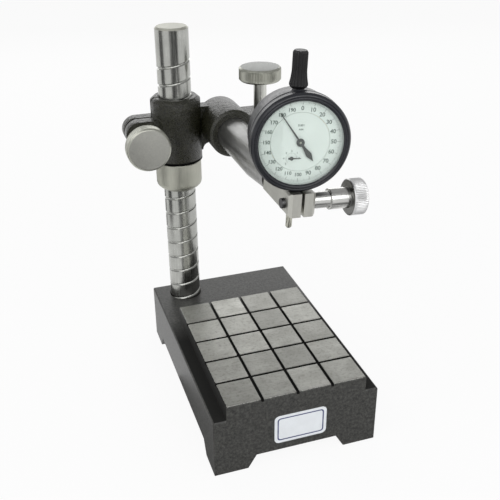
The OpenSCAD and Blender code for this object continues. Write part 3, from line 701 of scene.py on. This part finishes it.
def bezel():
    """Turned bezel with a knurled side, a groove near its back and the seat of the glass."""
    lo, hi = span("bezel", dial_at)
    outer, front, back = hi.x, hi.z, lo.z
    window_r = 24.1
    case_r, glass_r = outer - 2.25, outer - 2.93
    seat_back, glass_front = 12.2, 16.2
    loop = [
        (window_r, front - 0.9),
        (window_r + 0.9, front),
        (outer - 2.6, front),
        (outer - 2.2, front - 0.5),
        (outer - 1.8, front - 0.1),
        (outer - 1.0, front - 0.4),
        (outer, front - 1.9),
        (outer, back + 2.9),
        (outer - 0.45, back + 2.6),
        (outer - 0.45, back + 2.2),
        (outer, back + 1.9),
        (outer, back + 0.4),
        (outer - 0.4, back),
        (case_r, back),
        (case_r, seat_back),
        (glass_r, seat_back),
        (glass_r, glass_front),
        (window_r, glass_front),
    ]
    profile = rounded(loop + loop[:2], 0.35)[1:-1]
    ridge_count = 150
    ridges = knurl(ridge_count, 0.16, back + 2.9, front - 2.0)
    bm = lathe(
        profile, ridge_count * 4, lambda a, r, z: ridges(a, r, z) if r > outer - 0.02 else 0, closed=True
    )
    return piece("bezel_turned", bm, dial_at, "bezel", bezel_finish, ["bezel"])


lifting_nut()
clamp_knob("column_clamp", column_knob_at, column_knob_face)
clamp_knob("arm_clamp", arm_knob_at, arm_knob_face)
stem_knob()
lifting_cap()
bezel()


# Print on the dial: generic graduation and plain numbers

PRINT_T = 0.04
dial_top = span("dial_ring", dial_at)[1].z


def clock(angle):
    """Direction on the dial, clockwise from the top."""
    return Vector((math.sin(angle), math.cos(angle)))


def tick(bm, middle, angle, r0, r1, width):
    """Thin bar that points away from a middle."""
    out = clock(angle)
    side = Vector((out.y, -out.x)) * width / 2
    corners = [out * r0 + side, out * r1 + side, out * r1 - side, out * r0 - side]
    slab(bm, [middle + c for c in corners], dial_top, dial_top + PRINT_T)


def numeral(bm, text, place, size):
    """Number as a flat mesh, centred on a place."""
    curve = bpy.data.curves.new("numeral", "FONT")
    curve.body = text
    curve.size = size
    curve.align_x = curve.align_y = "CENTER"
    curve.extrude = PRINT_T / 2
    curve.offset = 0.028 * size
    curve.resolution_u = 4
    obj = bpy.data.objects.new("numeral", curve)
    bpy.context.scene.collection.objects.link(obj)
    bpy.context.view_layer.update()
    mesh = bpy.data.meshes.new_from_object(obj.evaluated_get(bpy.context.evaluated_depsgraph_get()))
    mesh.transform(Matrix.Translation((*place, dial_top + PRINT_T / 2)))
    bm.from_mesh(mesh)
    bpy.data.meshes.remove(mesh)
    bpy.data.objects.remove(obj)
    bpy.data.curves.remove(curve)


def seal(bm):
    """Joins the walls and faces of the numbers, all facing outward."""
    bmesh.ops.remove_doubles(bm, verts=bm.verts, dist=1e-4)
    bmesh.ops.recalc_face_normals(bm, faces=bm.faces)


def dial_scale():
    """Ticks and numbers of the outer scale, which turns with the bezel."""
    bm = bmesh.new()
    ticks, numbers, edge_r, number_r = 200, 20, 23.4, 19.2
    for i in range(ticks):
        major, half = i % 10 == 0, i % 5 == 0
        r0 = 21.3 if major else 21.9 if half else 22.4
        tick(bm, Vector((0, 0)), 2 * math.pi * i / ticks, r0, edge_r, 0.2 if major else 0.1)
    for i in range(numbers):
        size = 3.3 if i < numbers / 2 else 2.9
        numeral(bm, str(i * 10), clock(2 * math.pi * i / numbers) * number_r, size)
    seal(bm)
    return piece("dial_scale_print", bm, dial_at, "bezel", print_ink)


def counter_scale():
    """Digits round the turn counter and the value of one division, on the fixed plate."""
    bm = bmesh.new()
    numeral(bm, "0.001", (0, 9.6), 1.7)
    numeral(bm, "mm", (0, 7.4), 1.7)
    middle = (dial_at.inverted() @ Vector(joints["short_hand_turn"]["pos_m"]) / MM).xy
    turns, turn_angle, parts = 5, math.radians(45), 4
    for turn in range(turns + 1):
        a = math.radians(90) - turn_angle * turn
        numeral(bm, str(turn), middle + clock(a) * 4.4, 1.5)
        for part in range(parts if turn < turns else 1):
            r0 = 2.6 if part == 0 else 2.9
            tick(bm, middle, a - turn_angle * part / parts, r0, 3.4, 0.14)
    seal(bm)
    return piece("counter_print", bm, dial_at, "gauge", print_ink)


dial_scale()
counter_scale()


# Blank label on the front of the base


def rounded_rectangle(w, h, r, steps=6):
    """Loop of 2D points with round corners."""
    loop = []
    for quarter, (sx, sy) in enumerate(((1, 1), (-1, 1), (-1, -1), (1, -1))):
        for i in range(steps + 1):
            a = math.pi / 2 * (quarter + i / steps)
            loop.append((sx * (w / 2 - r) + r * math.cos(a), sy * (h / 2 - r) + r * math.sin(a)))
    return loop


def front_label():
    """White label with a blue line near its edge and nothing on it."""
    w, h, corner, thick = 37, 22.5, 3.4, 0.2
    centre = Vector((base_mid.x + 2.25, base_lo.y, 27.2)) * MM
    at = axes(centre, Vector((1, 0, 0)), Vector((0, 0, 1)), Vector((0, -1, 0)))
    bm = bmesh.new()
    loops = []
    for inset, z in ((0, 0), (0, thick), (2.0, thick), (2.9, thick)):
        ring = rounded_rectangle(w - 2 * inset, h - 2 * inset, corner - 0.6 * inset)
        loops.append([bm.verts.new((x, y, z)) for x, y in ring])
    for k, (low, high) in enumerate(zip(loops, loops[1:])):
        for i in range(len(low)):
            j = (i + 1) % len(low)
            bm.faces.new((low[i], low[j], high[j], high[i])).material_index = 1 if k == 2 else 0
    bm.faces.new(loops[-1])
    bm.faces.new(list(reversed(loops[0])))
    return piece("front_label_blank", bm, at, "stand", [label_white, label_blue])


front_label()


# Floor, light and camera

# Camera as in the photograph: place from the base's middle in mm, angles in degrees, focal length in
# pixels of a 500 px frame
CAMERA_PLACE = Vector((-151.5, -456.2, 364.5)) + base_mid
CAMERA_AZIMUTH, CAMERA_ELEVATION, CAMERA_ROLL = -18.10, 27.52, -0.53
CAMERA_FOCAL, FRAME_PX, SENSOR = 759.4, 500, 36.0
# Share of the floor that shows as plain white; the rest takes light and shadow
FLOOR_SHARE = 0.92
# Dark cards: middle and half of their angle, near and far end, tone
FLAGS = {
    "front": (0, 17, 280, 3000, 0.03),
    "left": (-80, 15, 250, 3000, 0.05),
    "right": (45, 18, 300, 520, 0.2),
    "rear": (-142, 12, 220, 460, 0.3),
    "beside": (-6, 12, 60, 170, 0.4),
    "fore": (16, 30, 166, 278, 0.48),
}
# Soft lights in m: place, size, power in W
SOFTBOXES = {
    "key": ((-0.9, -0.5, 1.1), (0.9, 0.9), 4.0),
    "front": ((0.0, -1.3, 0.9), (1.5, 0.8), 10.0),
    "back": ((0.25, 1.15, 0.58), (1.3, 0.45), 3.2),
}
LIGHT_AIM = Vector((0, 0, 0.12))


def link_stage(name, bm, mat):
    """Object that belongs to the studio and not to the part."""
    mesh = bpy.data.meshes.new(name)
    bm.to_mesh(mesh)
    bm.free()
    mesh.materials.append(mat)
    obj = bpy.data.objects.new(name, mesh)
    bpy.context.scene.collection.objects.link(obj)
    return obj


def floor():
    """Pale floor: white to the eye and in reflections, and it keeps the shadow."""
    mat = bpy.data.materials.new("floor_white")
    mat.use_nodes = True
    tree = mat.node_tree
    tree.nodes.clear()
    path = add(tree, "LightPath").outputs
    seen = add(tree, "Math", {0: path["Is Camera Ray"], 1: path["Is Glossy Ray"]}, operation="MAXIMUM")
    seen = add(tree, "Math", {0: seen.outputs[0], 1: path["Is Transmission Ray"]}, operation="MAXIMUM")
    share = remap(tree, seen.outputs[0], 0, 1, 0, FLOOR_SHARE)
    plain = add(tree, "BsdfDiffuse", {"Color": (0.85, 0.85, 0.85, 1)})
    white = add(tree, "Emission", {"Color": (1, 1, 1, 1), "Strength": 1.0})
    mixed = add(tree, "MixShader", {0: share, 1: plain.outputs[0], 2: white.outputs[0]})
    out = add(tree, "OutputMaterial")
    tree.links.new(mixed.outputs[0], out.inputs["Surface"])
    bm = bmesh.new()
    bmesh.ops.create_grid(bm, x_segments=2, y_segments=2, size=6)
    link_stage("floor", bm, mat)


def flag(name, middle, half, near, far, tone):
    """Dark card on the floor that only reflections see: a sector round the column, angles in degrees
    from the camera's side, lengths in mm."""
    mat = material(name, base_color=(tone, tone, tone, 1), roughness=0.9)[0]
    foot = column_at.translation / MM
    ahead = CAMERA_PLACE - foot
    start = math.atan2(ahead.y, ahead.x) + math.radians(middle - half)
    bm = bmesh.new()
    rings = []
    for i in range(9):
        a = start + math.radians(2 * half) * i / 8
        out = Vector((math.cos(a), math.sin(a), 0))
        rings.append([bm.verts.new((foot + out * r + Vector((0, 0, 0.5))) * MM) for r in (near, far)])
    for low, high in zip(rings, rings[1:]):
        bm.faces.new((low[0], low[1], high[1], high[0]))
    obj = link_stage(name, bm, mat)
    obj.visible_camera = obj.visible_diffuse = obj.visible_shadow = obj.visible_transmission = False


def studio_world():
    """White backdrop round the horizon, grey room above it."""
    world = bpy.data.worlds.new("studio")
    bpy.context.scene.world = world
    world.use_nodes = True
    tree = world.node_tree
    tree.nodes.clear()
    up = add(tree, "SeparateXYZ", {"Vector": add(tree, "TexCoord").outputs["Generated"]}).outputs["Z"]
    level = remap(tree, up, 0.14, 0.3, 0.97, 0.44)
    sky = add(tree, "Background", {"Color": (1, 1, 1, 1), "Strength": level})
    out = add(tree, "OutputWorld")
    tree.links.new(sky.outputs[0], out.inputs["Surface"])


def softbox(name, place, size, power):
    """Rectangular soft light aimed at the part."""
    lamp = bpy.data.lights.new(name, "AREA")
    lamp.shape = "RECTANGLE"
    lamp.size, lamp.size_y = size
    lamp.energy = power
    obj = bpy.data.objects.new(name, lamp)
    bpy.context.scene.collection.objects.link(obj)
    obj.location = place
    obj.rotation_mode = "QUATERNION"
    obj.rotation_quaternion = (LIGHT_AIM - Vector(place)).to_track_quat("-Z", "Y")


def camera():
    """Camera at the photograph's place and angle."""
    data = bpy.data.cameras.new("camera")
    data.sensor_width = SENSOR
    data.lens = CAMERA_FOCAL / FRAME_PX * SENSOR
    data.clip_start, data.clip_end = 0.01, 50
    obj = bpy.data.objects.new("camera", data)
    bpy.context.scene.collection.objects.link(obj)
    a, e = math.radians(CAMERA_AZIMUTH), math.radians(CAMERA_ELEVATION)
    ahead = Vector((-math.sin(a) * math.cos(e), math.cos(a) * math.cos(e), -math.sin(e)))
    obj.location = CAMERA_PLACE * MM
    obj.rotation_mode = "QUATERNION"
    roll = Quaternion((0, 0, 1), math.radians(CAMERA_ROLL))
    obj.rotation_quaternion = ahead.to_track_quat("-Z", "Y") @ roll
    bpy.context.scene.camera = obj


floor()
for name, sizes in FLAGS.items():
    flag("flag_" + name, *sizes)
studio_world()
for name, sizes in SOFTBOXES.items():
    softbox(name, *sizes)
camera()
bpy.context.scene.view_settings.view_transform = "Standard"
